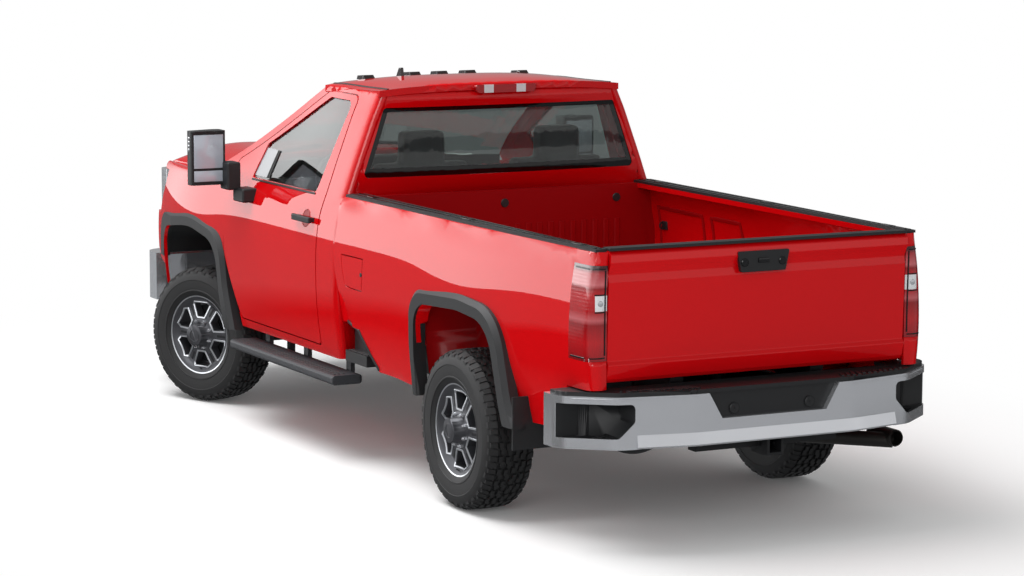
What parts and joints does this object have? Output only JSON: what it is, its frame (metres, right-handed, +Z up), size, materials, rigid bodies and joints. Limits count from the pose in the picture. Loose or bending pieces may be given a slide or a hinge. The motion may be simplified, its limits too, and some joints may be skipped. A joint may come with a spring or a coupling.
{
  "type": "pickup truck",
  "caption": "Two-door heavy pickup with a long open box, drop-down tailgate, lifting hood, opening doors, steered front wheels and a rear hitch receiver.",
  "frame": {"origin": "on the ground under the middle of the whole truck's length and width", "axes": "+X forward, +Y to the driver's side on the left, +Z up"},
  "size_m": [5.982, 2.622, 2.0739],
  "materials": {
    "red_paint": "gloss",
    "dark_frame": "satin",
    "chrome": "mirror",
    "machined_aluminium": "satin",
    "black_plastic": "matte",
    "gloss_black": "gloss",
    "lamp_red": "gloss",
    "lamp_clear": "gloss",
    "lamp_amber": "gloss",
    "tinted_glass": "clear",
    "tyre": "matte",
    "trim_grey": "matte",
    "seat_fabric": "matte",
    "cast_block": "matte",
    "steel": "satin",
    "axle_iron": "matte"
  },
  "bodies": {
    "chassis": {"frame": "dark_frame", "front_bumper": "chrome", "grille": "gloss_black", "headlamps": "lamp_clear", "front_fenders": "red_paint", "engine": "cast_block", "cab_floor": "red_paint", "cowl": "black_plastic", "cab_sides": "red_paint", "cab_back": "red_paint", "roof": "red_paint", "windshield": "tinted_glass", "rear_window": "tinted_glass", "dashboard": "trim_grey", "seat_cushions": "seat_fabric", "seat_backs": "seat_fabric", "seat_bases": "trim_grey", "box_floor": "red_paint", "box_sides": "red_paint", "box_steps": "black_plastic", "rail_caps": "black_plastic", "tail_lamps": "lamp_red", "rear_bumper": "chrome", "bumper_pads": "black_plastic", "wheel_liners": "black_plastic", "running_boards": "trim_grey", "spare_wheel": "tyre", "roof_lamps": "lamp_amber", "arch_mouldings": "black_plastic", "rear_axle": "axle_iron", "front_suspension": "axle_iron", "exhaust": "steel", "fuel_tank": "black_plastic"},
    "hood": {"hood": "red_paint"},
    "door_left": {"door_left": "red_paint", "door_glass_left": "tinted_glass", "mirror_handle_left": "black_plastic"},
    "door_right": {"door_right": "red_paint", "door_glass_right": "tinted_glass", "mirror_handle_right": "black_plastic"},
    "tailgate": {"tailgate": "red_paint", "tailgate_trim": "black_plastic"},
    "fuel_door": {"fuel_door": "red_paint"},
    "knuckle_left": {"knuckle_left": "axle_iron"},
    "knuckle_right": {"knuckle_right": "axle_iron"},
    "steering_linkage": {"steering_linkage": "steel"},
    "steering_wheel": {"steering_wheel": "trim_grey"},
    "wheel_rear_left": {"tyre_rear_left": "tyre", "rim_rear_left": "machined_aluminium"},
    "wheel_rear_right": {"tyre_rear_right": "tyre", "rim_rear_right": "machined_aluminium"},
    "wheel_front_left": {"tyre_front_left": "tyre", "rim_front_left": "machined_aluminium"},
    "wheel_front_right": {"tyre_front_right": "tyre", "rim_front_right": "machined_aluminium"}
  },
  "joints": [
    {"name": "steer_left", "type": "hinge", "parent": "chassis", "child": "knuckle_left", "pos_m": [1.991, 0.84, 0.405], "axis": [0, 0, 1], "range_deg": [-59, 12]},
    {"name": "steer_right", "type": "hinge", "parent": "chassis", "child": "knuckle_right", "pos_m": [1.991, -0.84, 0.405], "axis": [0, 0, 1], "range_deg": [-59, 12]},
    {"name": "wheel_front_left", "type": "hinge", "parent": "knuckle_left", "child": "wheel_front_left", "pos_m": [1.96876, 0.89139, 0.405], "axis": [-0.3971, 0.9178, 0], "continuous": true},
    {"name": "wheel_front_right", "type": "hinge", "parent": "knuckle_right", "child": "wheel_front_right", "pos_m": [2.01324, -0.89139, 0.405], "axis": [-0.3971, 0.9178, 0], "continuous": true},
    {"name": "wheel_rear_left", "type": "hinge", "parent": "chassis", "child": "wheel_rear_left", "pos_m": [-1.604, 0.896, 0.405], "axis": [0, 1, 0], "continuous": true},
    {"name": "wheel_rear_right", "type": "hinge", "parent": "chassis", "child": "wheel_rear_right", "pos_m": [-1.604, -0.896, 0.405], "axis": [0, 1, 0], "continuous": true},
    {"name": "linkage_slide", "type": "slide", "parent": "chassis", "child": "steering_linkage", "axis": [0, 1, 0], "range_m": [-0.0255, 0.124]},
    {"name": "steering_wheel_turn", "type": "hinge", "parent": "chassis", "child": "steering_wheel", "pos_m": [1.03355, 0.42, 1.3792], "axis": [-0.9063, 0, 0.4226], "range_deg": [-885, 180]},
    {"name": "door_left_hinge", "type": "hinge", "parent": "chassis", "child": "door_left", "pos_m": [1.52, 1.006, 0.984], "axis": [0, 0, -1], "range_deg": [0, 68]},
    {"name": "door_right_hinge", "type": "hinge", "parent": "chassis", "child": "door_right", "pos_m": [1.52, -1.006, 0.984], "axis": [0, 0, 1], "range_deg": [0, 68]},
    {"name": "hood_hinge", "type": "hinge", "parent": "chassis", "child": "hood", "pos_m": [1.8, 0, 1.424], "axis": [0, -1, 0], "range_deg": [0, 48]},
    {"name": "tailgate_hinge", "type": "hinge", "parent": "chassis", "child": "tailgate", "pos_m": [-2.801, 0, 0.834], "axis": [0, -1, 0], "range_deg": [0, 90]},
    {"name": "fuel_door_hinge", "type": "hinge", "parent": "chassis", "child": "fuel_door", "pos_m": [-0.223, 1.016, 1.05], "axis": [0, 0, -1], "range_deg": [0, 80]}
  ],
  "couplings": [
    {"joint": "steer_right", "follows": "steer_left", "ratio": 1},
    {"joint": "steering_wheel_turn", "follows": "steer_left", "ratio": 15},
    {"joint": "linkage_slide", "follows": "steer_left", "m_per_rad": -0.12}
  ]
}
